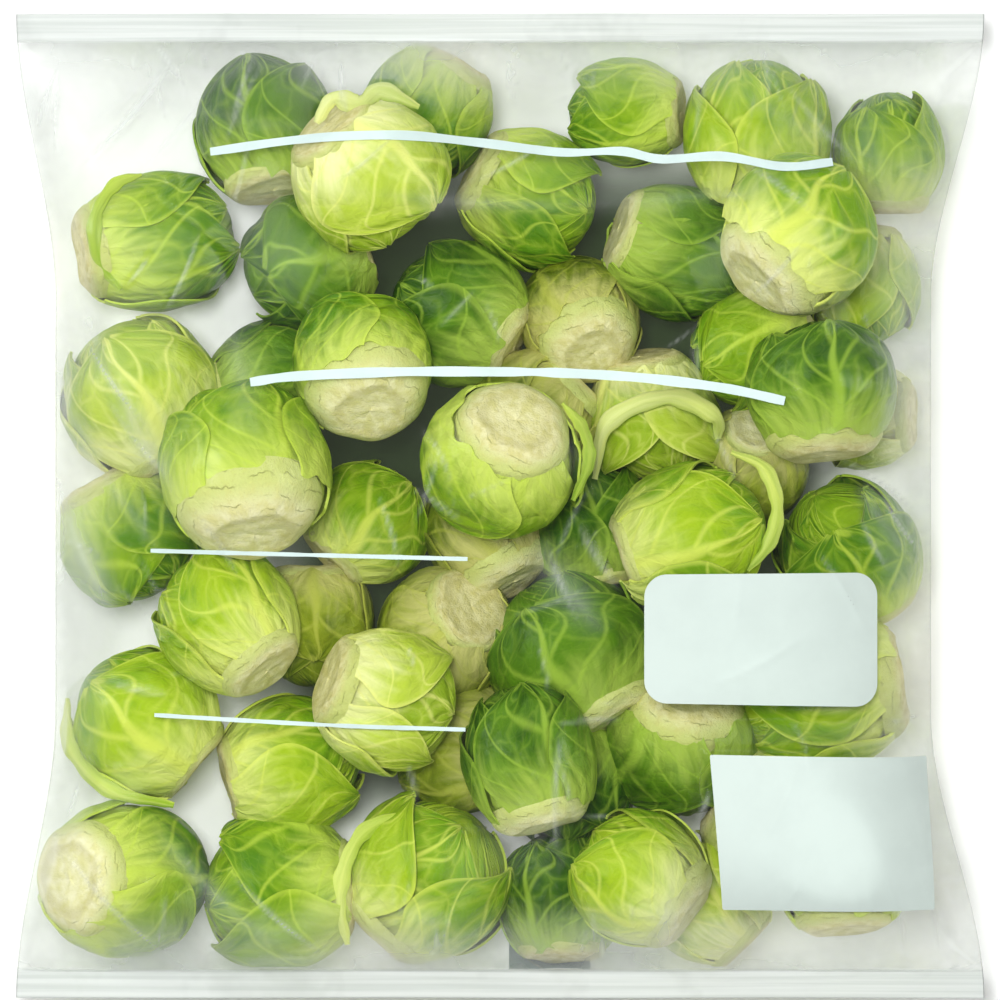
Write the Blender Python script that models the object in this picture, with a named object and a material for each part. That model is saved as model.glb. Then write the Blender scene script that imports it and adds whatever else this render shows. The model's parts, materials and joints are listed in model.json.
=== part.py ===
"""A sealed bag of clear film, filled with loose trimmed brussels sprouts, lying on its back.

Metres, +Z up. +X is the bag's width, +Y runs up its length, and the origin is on the surface that it
lies on, under its middle. The film is one piece: a tube whose sides are folds and whose two ends are
welded flat. Each sprout is a closed head of overlapping leaves with a cut stem.
"""

import math

import bmesh
import bpy
import numpy as np
from mathutils import Vector

MM = 0.001

# The bag's outline, in millimetres
BAG_LENGTH = 185.0
SEAL_HALF_WIDTH = 91.0
WAIST_HALF_WIDTH = 82.3
WAIST_SHIFT = -1.3  # the right side draws in more than the left
WAIST_STARTS = 0.42  # share of the half length that stays at the waist's width
SEAL_BAND = 5.0  # the welded band at each end
SEAL_HEIGHT = 12.5
SEAL_WAVE = 1.2
SEAL_WAVES = 2.5

# The film's wall, in millimetres
FILM = 0.5
STEEPEST = 0.38  # the least upward share of a wall's normal that the wall's depth allows for
EDGE_ROUND = 12.0  # how far in the back film takes to come down to the surface
FOLD_WALL = 0.8
FIRST_ROW = 1.5
ROWS_EVEN = 0.5  # share of the rows' spacing that is even; the rest draws them towards the ends
COLUMNS = 22
ROWS = 22
SAMPLES = 4  # places where the sprouts are felt, along each side of a cell of film
RELAX_STEPS = 500

# Small breathing holes in the front film's upper part, as its (column, row)
BREATHING_CELLS = ((5, ROWS - 6), (COLUMNS - 6, ROWS - 6))
BREATHING_HOLE = 2.4

# How the sprouts pack, in millimetres
GAP = 0.4  # between two sprouts
FILM_GAP = 0.6  # between a sprout and the film
WALL_MARGIN = 2.1  # from a sprout to the film's fold or to a welded band
PACK_STEPS = 1500
CLEAR_STEPS = 600
FALL = 0.12
FRONT_START = 40.0
BACK_START = 14.0
FRONT_HOLD = 0.06
BACK_HOLD = 0.01

# A sprout's head and its layers of leaves: where a layer ends between its leaves and at their tips, in
# degrees from the stem, and how many leaves it has
LEAF_LAYERS = ((42, 128, 2), (72, 146, 3), (114, 158, 3))
SEGMENTS = 14
CUT_ANGLE = math.radians(29)
LAST_EDGE = math.radians(148)
LAYER_APART = math.radians(8)
EDGE_WIDTH = math.radians(3)
LEAF_LEAN = math.radians(7)
LOBE_POWER = 0.6
LEAF_STEP = 0.065  # each layer's depth, in shares of the head's size
BELLY_RINGS = ((0.35, 0.985), (0.72, 0.985))  # how far up to the first edge, and the share of the size
SHARP_EDGE = math.radians(38)
SEED = 7

# (across mm, up mm, diameter mm, length mm, stem azimuth, stem elevation, tone). The azimuth is seen from
# above, from +X towards +Y, and the elevation is up from the surface, both in degrees.
FRONT_SPROUTS = (
    (-44, 71, 26.5, 29, -80, 20, "dark"),
    (-64, 50, 25, 33, 190, 10, "medium"),
    (-24, 63, 28, 29, 130, 20, "pale"),
    (5, 58, 25, 28, 150, 5, "medium"),
    (22, 72, 20, 24, 0, 10, "medium"),
    (47, 74, 27, 31, -95, 5, "light"),
    (55, 53, 28, 30, 225, 22, "light"),
    (59, 22, 28, 28, -85, 8, "dark"),
    (67, -7, 26, 30, -60, -20, "medium"),
    (36, -4, 27, 31, 200, 0, "light"),
    (1, 9, 28.5, 29, 70, 50, "medium"),
    (-25, 27, 26, 28, -80, 45, "medium"),
    (-49, 8, 31, 34, -80, 30, "medium"),
    (-54, -20, 25, 30, -50, 20, "light"),
    (-70, -40, 28, 30, -40, 0, "light"),
    (-69, -70, 29, 34, 180, 50, "medium"),
    (-43, -47, 26, 29, 195, 5, "light"),
    (-20, -36, 26, 28, 160, 15, "pale"),
    (-23, -4, 22.5, 24, -135, 10, "light"),
    (6, -46, 25, 30, -75, 8, "dark"),
    (-14, -72, 31, 32, 225, -10, "light"),
    (26, -70, 25, 27, -35, 10, "light"),
    (62, -66, 26, 27, -85, 10, "medium"),
)
BACK_SPROUTS = (
    (29, 12, 22, 24, 100, 10, "pale"),
    (-38, 45, 23, 24, 20, 0, "dark"),
    (-4, 68, 22, 24, 60, 0, "medium"),
    (3, 36, 24, 26, -30, 10, "dark"),
    (72, 58, 22, 27, -90, 0, "medium"),
    (76, 35, 21, 25, 90, -10, "light"),
    (38, 45, 23, 25, 160, 10, "dark"),
    (20, 41, 20, 23, -70, 50, "olive"),
    (59, 32, 22, 24, 30, 0, "medium"),
    (73, 18, 20, 22, 0, 10, "pale"),
    (48, 9, 19, 21, 80, 45, "olive"),
    (-40, 23, 21, 23, 200, 0, "dark"),
    (-70, 14, 27, 29, -60, 0, "pale"),
    (-72, -13, 23, 25, 120, 0, "medium"),
    (0, -6, 19, 22, -60, 20, "olive"),
    (-10, -20, 21, 22, 45, 50, "olive"),
    (14, -32, 26, 28, -60, 10, "dark"),
    (-40, -68, 23.5, 26, 0, 0, "medium"),
    (10, -75, 20, 22, -90, 10, "dark"),
    (11, -62, 20, 22, 90, 0, "dark"),
    (36, -47, 23, 25, 80, 40, "dark"),
    (58, -36, 25, 30, 10, 0, "light"),
    (40, -77, 19, 21, -45, 0, "pale"),
    (49, -59, 24, 25, 150, 0, "pale"),
    (-13, -54, 20, 22, 0, 30, "olive"),
    (-34, -18, 19, 21, 90, 0, "olive"),
    (15, 21, 21, 23, 45, 0, "olive"),
    (16, 3, 20, 22, -80, 0, "dark"),
)

TONES = {
    "dark": (0.07, 0.18, 0.02),
    "medium": (0.18, 0.39, 0.04),
    "light": (0.40, 0.58, 0.10),
    "pale": (0.56, 0.68, 0.24),
    "olive": (0.28, 0.30, 0.08),
}
LEAF_ROUGHNESS = 0.45
FILM_COLOUR = (0.86, 0.92, 0.90)
FILM_ALPHA = 0.3
FILM_ROUGHNESS = 0.12


def clear_scene():
    for item in list(bpy.data.objects):
        bpy.data.objects.remove(item, do_unlink=True)


def make_material(name, colour, roughness, alpha=1.0):
    material = bpy.data.materials.new(name)
    material.use_nodes = True
    shader = material.node_tree.nodes["Principled BSDF"]
    shader.inputs["Base Color"].default_value = (*colour, 1.0)
    shader.inputs["Roughness"].default_value = roughness
    shader.inputs["Metallic"].default_value = 0.0
    shader.inputs["Alpha"].default_value = alpha
    return material


def make_object(name, points, faces, material):
    """One mesh object from points in millimetres, with its faces turned out."""
    mesh = bpy.data.meshes.new(name)
    mesh.from_pydata([tuple(p * MM for p in point) for point in points], [], faces)
    work = bmesh.new()
    work.from_mesh(mesh)
    bmesh.ops.recalc_face_normals(work, faces=work.faces)
    work.to_mesh(mesh)
    work.free()
    mesh.shade_smooth()
    mesh.set_sharp_from_angle(angle=SHARP_EDGE)
    mesh.materials.append(material)
    item = bpy.data.objects.new(name, mesh)
    bpy.context.scene.collection.objects.link(item)
    return item


def smooth_step(start, end, value):
    share = np.clip((value - start) / (end - start), 0.0, 1.0)
    return share * share * (3.0 - 2.0 * share)


def half_width(up):
    """The bag's half width at a height along its length: drawn in at the waist, full at the ends."""
    flare = smooth_step(WAIST_STARTS, 1.0, np.abs(up) / (BAG_LENGTH / 2))
    return WAIST_HALF_WIDTH + (SEAL_HALF_WIDTH - WAIST_HALF_WIDTH) * flare


def middle(up):
    flare = smooth_step(WAIST_STARTS, 1.0, np.abs(up) / (BAG_LENGTH / 2))
    return WAIST_SHIFT * (1.0 - flare)


def stem_direction(azimuth, elevation):
    across = math.cos(math.radians(elevation))
    return np.array(
        (
            across * math.cos(math.radians(azimuth)),
            across * math.sin(math.radians(azimuth)),
            math.sin(math.radians(elevation)),
        )
    )


class Heads:
    """The sprouts as ovals of revolution, each with a place, a stem direction and its two half sizes."""

    def __init__(self):
        rows = [*FRONT_SPROUTS, *BACK_SPROUTS]
        self.front = np.array([i < len(FRONT_SPROUTS) for i in range(len(rows))])
        self.target = np.array([row[:2] for row in rows], float)
        start = np.where(self.front, FRONT_START, BACK_START)
        self.place = np.column_stack((self.target, start))
        self.across = np.array([row[2] for row in rows]) / 2
        self.along = np.array([row[3] for row in rows]) / 2
        self.stem = np.array([stem_direction(row[4], row[5]) for row in rows])
        self.tone = [row[6] for row in rows]

    def reach(self, index, direction):
        """How far each head reaches from its middle along a direction."""
        lined_up = np.sum(direction * self.stem[index], axis=-1) ** 2
        return np.sqrt(
            self.along[index] ** 2 * lined_up + self.across[index] ** 2 * (1 - lined_up)
        )

    def push_apart(self):
        first, second = np.triu_indices(len(self.place), 1)
        offset = self.place[second] - self.place[first]
        distance = np.linalg.norm(offset, axis=1)
        direction = offset / distance[:, None]
        short = self.reach(first, direction) + self.reach(second, direction) + GAP - distance
        step = 0.5 * np.maximum(short, 0.0)[:, None] * direction
        moved = np.zeros_like(self.place)
        np.add.at(moved, first, -step)
        np.add.at(moved, second, step)
        self.place += 0.8 * moved
        return short.max()

    def keep_in_bag(self):
        every = np.arange(len(self.place))
        side = self.reach(every, np.array((1.0, 0.0, 0.0))) + WALL_MARGIN
        end = self.reach(every, np.array((0.0, 1.0, 0.0))) + WALL_MARGIN + SEAL_BAND
        rise = self.reach(every, np.array((0.0, 0.0, 1.0))) + FILM + FILM_GAP
        room = BAG_LENGTH / 2 - end
        self.place[:, 1] = np.clip(self.place[:, 1], -room, room)
        low = middle(self.place[:, 1]) - half_width(self.place[:, 1]) + side
        high = middle(self.place[:, 1]) + half_width(self.place[:, 1]) - side
        self.place[:, 0] = np.clip(self.place[:, 0], low, high)
        self.place[:, 2] = np.maximum(self.place[:, 2], rise)

    def settle(self):
        """Lets the heads drop into the bag near their places, then parts those that still touch."""
        hold = np.where(self.front, FRONT_HOLD, BACK_HOLD)[:, None]
        for _ in range(PACK_STEPS):
            self.place[:, 2] -= FALL
            self.place[:, :2] += hold * (self.target - self.place[:, :2])
            self.push_apart()
            self.keep_in_bag()
        for _ in range(CLEAR_STEPS):
            self.push_apart()
            self.keep_in_bag()

    def surface(self, across, up, side, grown):
        """The top (side 1) or bottom (side -1) of the heads, grown, over given places, or nan beside them."""
        found = np.full(across.shape, np.nan)
        for place, stem, wide, long in zip(self.place, self.stem, self.across, self.along):
            form = np.eye(3) / (wide + grown) ** 2
            form += (1 / (long + grown) ** 2 - 1 / (wide + grown) ** 2) * np.outer(stem, stem)
            x = across - place[0]
            y = up - place[1]
            b = form[0, 2] * x + form[1, 2] * y
            c = form[0, 0] * x * x + 2 * form[0, 1] * x * y + form[1, 1] * y * y - 1
            inside = b * b - form[2, 2] * c
            root = np.sqrt(np.maximum(inside, 0.0))
            height = place[2] + (-b + side * root) / form[2, 2]
            found = np.where(inside > 0, side * np.fmax(side * found, side * height), found)
        return found


def leaf_edges(draw, azimuths):
    """Where each layer of leaves ends, as angles from the stem round the head, the outermost layer first."""
    edges = []
    for low, high, lobes in LEAF_LAYERS:
        phase = draw.uniform(0, 2 * math.pi)
        lean = LEAF_LEAN * np.sin(azimuths - draw.uniform(0, 2 * math.pi))
        lobe = np.abs(np.cos(lobes / 2 * (azimuths - phase))) ** LOBE_POWER
        edge = np.radians(low + (high - low) * lobe) + lean
        if edges:
            edge = np.maximum(edge, edges[-1] + LAYER_APART)
        edges.append(np.minimum(edge, LAST_EDGE + len(edges) * LAYER_APART))
    return edges


def head_rings(draw):
    """The head's rings from the cut stem to the tip, as angles from the stem and a share of its size."""
    azimuths = np.arange(SEGMENTS) * 2 * math.pi / SEGMENTS
    edges = leaf_edges(draw, azimuths)
    cut = np.full(SEGMENTS, CUT_ANGLE)
    rings = [(cut, 1.0)]
    rings += [(cut + (edges[0] - cut) * up, share) for up, share in BELLY_RINGS]
    for layer, edge in enumerate(edges):
        rings.append((edge, 1.0 - LEAF_STEP * layer))
        rings.append((edge + EDGE_WIDTH, 1.0 - LEAF_STEP * (layer + 1)))
    return azimuths, rings


def make_sprout(name, heads, index):
    """A head whose surface steps down where each layer of leaves ends."""
    azimuths, rings = head_rings(np.random.default_rng(SEED + index))
    across = heads.across[index]
    along = heads.along[index]
    turn = Vector(-heads.stem[index]).to_track_quat("Z", "Y")
    middle_place = Vector(heads.place[index])

    points = [Vector((0, 0, -along * math.cos(CUT_ANGLE)))]
    for angles, share in rings:
        for azimuth, angle in zip(azimuths, angles):
            wide = across * share * math.sin(angle)
            low = along * share * math.cos(angle)
            points.append(Vector((wide * math.cos(azimuth), wide * math.sin(azimuth), -low)))
    points.append(Vector((0, 0, along * rings[-1][1])))

    faces = []
    last = 1 + (len(rings) - 1) * SEGMENTS
    for segment in range(SEGMENTS):
        after = (segment + 1) % SEGMENTS
        faces.append((0, 1 + after, 1 + segment))
        for low in range(1, last, SEGMENTS):
            high = low + SEGMENTS
            faces.append((low + segment, low + after, high + after, high + segment))
        faces.append((last + segment, last + after, len(points) - 1))

    placed = [turn @ point + middle_place for point in points]
    material = make_material(name, TONES[heads.tone[index]], LEAF_ROUGHNESS)
    return make_object(name, placed, faces, material)


def film_rows():
    """Places along the length where the film has a row of points, from the lower end to the upper."""
    inner = BAG_LENGTH / 2 - SEAL_BAND
    even = np.linspace(-1.0, 1.0, ROWS - 3)
    between = (inner - FIRST_ROW) * (ROWS_EVEN * even + (1.0 - ROWS_EVEN) * np.sin(even * math.pi / 2))
    return np.concatenate(((-BAG_LENGTH / 2, -inner), between, (inner, BAG_LENGTH / 2)))


def seal_height(across):
    return SEAL_HEIGHT + SEAL_WAVE * np.sin(SEAL_WAVES * math.pi * across / SEAL_HALF_WIDTH)


def back_height(across, up, edge):
    """The back film: flat on the surface, and round at the folds and at the welded bands."""
    in_side = half_width(up) - np.abs(across - middle(up))
    in_end = BAG_LENGTH / 2 - SEAL_BAND - np.abs(up)
    near = np.clip(np.minimum(in_side, in_end) / EDGE_ROUND, 0.0, 1.0)
    return edge * (1.0 - np.sqrt(1.0 - (1.0 - near) ** 2))


def front_floor(heads, share, rows):
    """The least height of the front film at each of its points, so that no cell of it meets a sprout."""
    fine_share = np.interp(np.arange(COLUMNS * SAMPLES + 1) / SAMPLES, np.arange(COLUMNS + 1), share)
    fine_rows = np.interp(np.arange(ROWS * SAMPLES + 1) / SAMPLES, np.arange(ROWS + 1), rows)
    up = np.repeat(fine_rows[:, None], len(fine_share), axis=1)
    across = middle(up) + half_width(up) * fine_share[None, :]
    tops = np.nan_to_num(heads.surface(across, up, 1, FILM + FILM_GAP), nan=0.0)
    needed = np.zeros((ROWS + 1, COLUMNS + 1))
    for row in range(ROWS + 1):
        for column in range(COLUMNS + 1):
            low = (max(row - 1, 0) * SAMPLES, max(column - 1, 0) * SAMPLES)
            high = ((row + 1) * SAMPLES + 1, (column + 1) * SAMPLES + 1)
            needed[row, column] = tops[low[0] : high[0], low[1] : high[1]].max()
    return needed


def front_height(heads, share, rows, edge):
    """The front film: drawn tight over the sprouts from fold to fold and from band to band."""
    needed = front_floor(heads, share, rows)
    height = edge + 0.0
    inside = (slice(2, -2), slice(1, -1))
    height[inside] = np.maximum(needed[inside], edge[inside])
    for _ in range(RELAX_STEPS):
        mean = (height[1:-3, 1:-1] + height[3:-1, 1:-1] + height[2:-2, :-2] + height[2:-2, 2:]) / 4
        height[inside] = np.maximum(mean, needed[inside])
    return height


def wall_depth(height, across, up):
    """The vertical depth of a wall of the film's thickness, more where the film is steep."""
    slope_across = np.gradient(height, axis=1) / np.gradient(across, axis=1)
    slope_up = np.gradient(height, axis=0) / np.gradient(up, axis=0)
    upright = 1.0 / np.sqrt(1.0 + slope_across**2 + slope_up**2)
    return FILM / np.maximum(upright, STEEPEST)


class Skin:
    """One side of the film's wall as a closed grid: a front and a back that share their folds."""

    def __init__(self, points, faces):
        self.points = points
        self.faces = faces

    def add_grid(self, across, up, height):
        start = len(self.points)
        self.points.extend(zip(across.ravel(), up.ravel(), height.ravel()))
        return start + np.arange(across.size).reshape(across.shape)

    def add_cell(self, corners):
        a, b, c, d = corners
        self.faces.append((a, b, c))
        self.faces.append((a, c, d))

    def add_holed_cell(self, corners):
        """A cell with a square hole in it. Returns the hole's corners."""
        places = np.array([self.points[corner] for corner in corners])
        centre = places.mean(axis=0)
        shrink = BREATHING_HOLE / np.abs(places[2] - places[0])[:2].min()
        inner = []
        for place in places:
            inner.append(len(self.points))
            self.points.append(tuple(centre + (place - centre) * shrink))
        for i in range(4):
            after = (i + 1) % 4
            self.faces.append((corners[i], corners[after], inner[after]))
            self.faces.append((corners[i], inner[after], inner[i]))
        return inner

    def cover(self, front, back, first_row=0):
        """Faces over both grids, whose first row is a given row of the bag. Returns each hole's corners."""
        holes = []
        rows, columns = front.shape
        for row in range(rows - 1):
            for column in range(columns - 1):
                self.add_cell(cell_corners(back, row, column))
                corners = cell_corners(front, row, column)
                if (column, row + first_row) in BREATHING_CELLS:
                    holes.append(self.add_holed_cell(corners))
                else:
                    self.add_cell(corners)
        return holes


def cell_corners(grid, row, column):
    return grid[row, column], grid[row, column + 1], grid[row + 1, column + 1], grid[row + 1, column]


def add_outer_skin(skin, across, up, front, back):
    front_grid = skin.add_grid(across, up, front)
    back_grid = skin.add_grid(across, up, back)
    for fold in (0, -1):
        back_grid[:, fold] = front_grid[:, fold]
    holes = skin.cover(front_grid, back_grid)
    for row in (0, ROWS):
        for column in range(COLUMNS):
            ends = [front_grid[row, column], front_grid[row, column + 1]]
            ends += [back_grid[row, column + 1], back_grid[row, column]]
            skin.faces.append(tuple(dict.fromkeys(ends)))
    return holes


def add_inner_skin(skin, share, across, up, front, back, edge):
    """The hollow: the outer skin drawn in by the film's wall, closed along the folds and the bands."""
    inner_up = up.copy()
    inner_up[1] += FOLD_WALL
    inner_up[-2] -= FOLD_WALL
    inner_across = middle(inner_up) + (half_width(inner_up) - FOLD_WALL) * share[None, :]
    inner_front = front - wall_depth(front, across, up)
    inner_back = back + wall_depth(back, across, up)
    for row in (1, ROWS - 1):
        inner_front[row] = edge[row]
    for fold in (0, COLUMNS):
        inner_front[:, fold] = front[:, fold]
    body = slice(1, ROWS)
    front_grid = skin.add_grid(inner_across[body], inner_up[body], inner_front[body])
    back_grid = skin.add_grid(inner_across[body], inner_up[body], inner_back[body])
    for line in ((slice(None), 0), (slice(None), -1), (0, slice(None)), (-1, slice(None))):
        back_grid[line] = front_grid[line]
    return skin.cover(front_grid, back_grid, first_row=1)


def join_holes(faces, outer_holes, inner_holes):
    for outside, inside in zip(outer_holes, inner_holes):
        for i in range(4):
            after = (i + 1) % 4
            faces.append((outside[i], outside[after], inside[after], inside[i]))


def make_film(heads):
    """The bag: an outer and an inner skin a film's thickness apart, joined through the breathing holes."""
    share = -np.cos(np.linspace(0.0, math.pi, COLUMNS + 1))
    rows = film_rows()
    up = np.repeat(rows[:, None], COLUMNS + 1, axis=1)
    across = middle(up) + half_width(up) * share[None, :]
    edge = seal_height(across)
    front = front_height(heads, share, rows, edge)
    back = back_height(across, up, edge)
    for row in (0, 1, ROWS - 1, ROWS):
        front[row, 1:-1] = edge[row, 1:-1] + FILM
        back[row, 1:-1] = edge[row, 1:-1] - FILM
    for fold in (0, COLUMNS):
        back[:, fold] = front[:, fold]

    skin = Skin([], [])
    outer_holes = add_outer_skin(skin, across, up, front, back)
    inner_holes = add_inner_skin(skin, share, across, up, front, back, edge)
    join_holes(skin.faces, outer_holes, inner_holes)
    used = sorted({corner for face in skin.faces for corner in face})
    number = {corner: i for i, corner in enumerate(used)}
    points = [skin.points[corner] for corner in used]
    faces = [[number[corner] for corner in face] for face in skin.faces]
    material = make_material("bag_film", FILM_COLOUR, FILM_ROUGHNESS, FILM_ALPHA)
    return make_object("bag_film", points, faces, material)


def main():
    clear_scene()
    heads = Heads()
    heads.settle()
    make_film(heads)
    for index in range(len(heads.place)):
        make_sprout(f"sprout_{index + 1:02d}", heads, index)


main()
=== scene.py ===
"""The looks of a sealed bag of loose brussels sprouts: leafy heads in clear film, seen from straight above.

Every size is in metres unless its name or comment says otherwise. A head's place, size and stem come from its
solid in the frame, and its colour from the record's material slot.
"""

import json
import math

import bpy
import numpy as np
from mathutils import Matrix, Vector


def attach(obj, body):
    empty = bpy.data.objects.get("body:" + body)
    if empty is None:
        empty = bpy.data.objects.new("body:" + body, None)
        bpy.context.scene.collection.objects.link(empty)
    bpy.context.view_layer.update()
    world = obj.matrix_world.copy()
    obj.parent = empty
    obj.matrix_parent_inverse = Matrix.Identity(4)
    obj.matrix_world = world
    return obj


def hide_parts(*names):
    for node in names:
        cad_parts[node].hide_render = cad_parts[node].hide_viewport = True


MM = 0.001

# The camera takes in a square of this width at the height of the bag's welded ends
VIEW_WIDTH = 188.0 * MM
VIEW_UP = 1.1 * MM
CAMERA_HEIGHT = 2.0
SENSOR = 36.0

# A head's solid: where its stem is cut, as an angle from the stem, and how far its tip reaches
CUT_ANGLE = math.radians(29)
TIP_SHARE = 0.82
CUT_TOLERANCE = 0.05 * MM
# The heads press on each other, so they are larger than their solids: up to which head, and how much
SWELLS = ((23, 1.055), (37, 1.16), (51, 1.28))
SLIM = {28: 1.0, 29: 1.06, 33: 1.06}  # heads beside the folds, which have less room
LEAF_ROOM = 1.03  # the room that a head's leaves take, in shares of the head's size

# Leaves of a head, outermost first: how many, and (half width, tip) in degrees, least and most
LEAF_TURN = math.radians(137.5)
LEAF_KINDS = (
    (2, (72, 92), (118, 138)),
    (3, (62, 82), (134, 152)),
    (2, (55, 72), (152, 166)),
)
CUT_SPREAD = (33, 42)  # where the leaves begin, in degrees from the stem, least and most
FACE_ROWS = 0.5  # the stem's face, as a share of the cut end's rows
FRONT_HEADS = 23  # the first heads are seen well, and have the finer leaves
FRONT_GRID = 44
BACK_GRID = 26
SEED = 19
FORM_SEED = 400
# Depths and heights on a head, in shares of its size
LEAF_STEP = 0.031  # each leaf's depth below the last
CORE_SHARE = 0.84
BULGE = 0.022
EDGE_LIFT = 0.018
BASE_LIFT = 0.9  # how far a leaf's cut base stands up, in shares of its edge's lift
EDGE_WALL = 0.03  # how far a leaf's edge turns down to the leaf below
RIB_LIFT = 0.014
PUCKER = 0.014

# Veins, in a leaf's own places: a from -1 to 1 across it, b from 0 at its base to 1 at its tip
MIDRIB_THIN = 0.034
MIDRIB_WIDE = 0.15
SIDE_VEINS = 3.0
SIDE_SLOPE = 0.62
SIDE_WIDTH = 0.034
SIDE_OFFSET = 0.35
VEIN_WANDER = 0.055

# A leaf's patterns: how many of each there are along it, and how far they wander across and along it
MOTTLES = 2.6
NET_CELLS = 3.2
FINE_CELLS = 11.0
SPECKS = 70.0
PATTERN_WANDER = (0.12, 0.12, 0.0)
LINE_SHARES = (0.07, 0.28, 0.66, 0.9)  # how clearly the fine net, the net, side veins and midrib show

# The bag's outline, as its solid has it
BAG_LENGTH = 185.0 * MM
SEAL_HALF_WIDTH = 91.0 * MM
WAIST_HALF_WIDTH = 82.3 * MM
WAIST_SHIFT = -1.3 * MM
WAIST_STARTS = 0.42
SEAL_BAND = 5.0 * MM
INNER_LENGTH = BAG_LENGTH / 2 - SEAL_BAND  # from the middle to a weld
SEAL_HEIGHT = 12.5 * MM
SEAL_WAVE = 1.2 * MM
SEAL_WAVES = 2.5

# The film's grid: rows in each welded band, and rows and columns between the bands
SEAL_ROWS = 22
BODY_ROWS = 262
FILM_COLUMNS = 300

# The film's form
FILM_GAP = 0.5 * MM  # how far the heads stay from the outline and from the surface below
LEAF_GAP = 0.25 * MM  # how far the front stays over their leaves
FILM_TOP = 51.2 * MM
TOP_STARTS = 49.5 * MM  # above this height the film is drawn in, to stay within TOP_ROOM of it
TOP_ROOM = 2.7 * MM
WALL_SLOPE = 4.0  # how steeply the front rises from the welds and the folds at the most
BACK_SLOPE = 20.0 * MM  # how far in the back slopes down from them, and how roundly
BACK_ROUND = 1.7
RELAXING = ((8, 500), (4, 300), (2, 200), (1, 160))  # how coarse each grid is, and its steps
PANEL_FADE = 7.0 * MM
PANEL_SMOOTHING = 300
BREATHING_HOLES = ((-61.0, 61.3), (60.0, 61.4))  # across and up, in millimetres
HOLE_RADIUS = 1.2 * MM
CRIMP_PITCH = 1.25 * MM
CRIMP_DEPTH = 0.06 * MM
WELD_HALF = 0.06 * MM
INK_LIFT = 0.12 * MM

# How milky the film is at its ends and its sides, how far in that reaches, and the least it is
END_VEIL = 0.50
END_VEIL_REACH = 22 * MM
SIDE_VEIL = 0.32
SIDE_VEIL_REACH = 14 * MM
LEAST_VEIL = 0.01
BACK_SHARES = (1.0, 0.2, 0.4)  # how much of the front's weld, creases, and milkiness with painted highlights the back has

# The back's painted shade, which darkens the gaps between the heads and partly stands for the back's faint
# print: its middle, its half sizes, and how softly it ends
PAINTED_SHADE_MIDDLE = (10 * MM, 4 * MM)
PAINTED_SHADE_HALF = (60 * MM, 68 * MM)
PAINTED_SHADE_FADE = 18 * MM


def ease(start, end, value):
    """A soft step from 0 at the start to 1 at the end, which may lie below the start."""
    share = np.clip((value - start) / (end - start), 0.0, 1.0)
    return share * share * (3.0 - 2.0 * share)


def half_width(up):
    flare = ease(WAIST_STARTS, 1.0, np.abs(up) / (BAG_LENGTH / 2))
    return WAIST_HALF_WIDTH + (SEAL_HALF_WIDTH - WAIST_HALF_WIDTH) * flare


def middle_line(up):
    flare = ease(WAIST_STARTS, 1.0, np.abs(up) / (BAG_LENGTH / 2))
    return WAIST_SHIFT * (1.0 - flare)


def keep_inside(across, up, from_side, from_weld):
    """Places moved inside the bag's outline, at least so far from its folds and its welds."""
    middle = middle_line(up)
    room = half_width(up) - from_side
    most = INNER_LENGTH - from_weld
    return np.clip(across, middle - room, middle + room), np.clip(up, -most, most)


def unit(vectors):
    return vectors / np.maximum(np.linalg.norm(vectors, axis=-1, keepdims=True), 1e-9)


def smooth_path(points, count):
    """Points evenly spaced in number along a smooth line through given points."""
    points = np.asarray(points, float)
    if len(points) < 3:
        return points[0] + (points[-1] - points[0]) * np.linspace(0, 1, count)[:, None]
    padded = np.concatenate(([2 * points[0] - points[1]], points, [2 * points[-1] - points[-2]]))
    place = np.linspace(0, len(points) - 1.0001, count)
    i = place.astype(int)
    t = (place - i)[:, None]
    a, b, c, d = padded[i], padded[i + 1], padded[i + 2], padded[i + 3]
    return 0.5 * (2 * b + (c - a) * t + (2 * a - 5 * b + 4 * c - d) * t**2 + (3 * b - a - 3 * c + d) * t**3)


def put_in_scene(name, data):
    item = bpy.data.objects.new(name, data)
    bpy.context.scene.collection.objects.link(item)
    return item


def mesh_object(name, points, faces, materials, face_material=None, values=None, sharp=None):
    """A smooth mesh from points and four-cornered faces, with named vector values at its points."""
    mesh = bpy.data.meshes.new(name)
    mesh.vertices.add(len(points))
    mesh.vertices.foreach_set("co", np.asarray(points, np.float32).ravel())
    mesh.loops.add(faces.size)
    mesh.loops.foreach_set("vertex_index", faces.astype(np.int32).ravel())
    mesh.polygons.add(len(faces))
    mesh.polygons.foreach_set("loop_start", np.arange(0, faces.size, 4, dtype=np.int32))
    for material in materials:
        mesh.materials.append(material)
    if face_material is not None:
        mesh.polygons.foreach_set("material_index", face_material.astype(np.int32))
    mesh.update(calc_edges=True)
    mesh.validate()
    for key, data in (values or {}).items():
        attribute = mesh.attributes.new(key, "FLOAT_VECTOR", "POINT")
        attribute.data.foreach_set("vector", np.asarray(data, np.float32).ravel())
    mesh.shade_smooth()
    if sharp is not None:
        mesh.set_sharp_from_angle(angle=sharp)
    return put_in_scene(name, mesh)


def grid_faces(rows, columns, start=0, closed=False):
    """Faces over a grid of points. A closed grid joins its last column to its first."""
    number = start + np.arange(rows * columns).reshape(rows, columns)
    after = np.roll(number, -1, axis=1) if closed else number[:, 1:]
    here = number if closed else number[:, :-1]
    return np.stack([here[:-1], after[:-1], after[1:], here[1:]], axis=-1).reshape(-1, 4)


# Node materials


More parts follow.
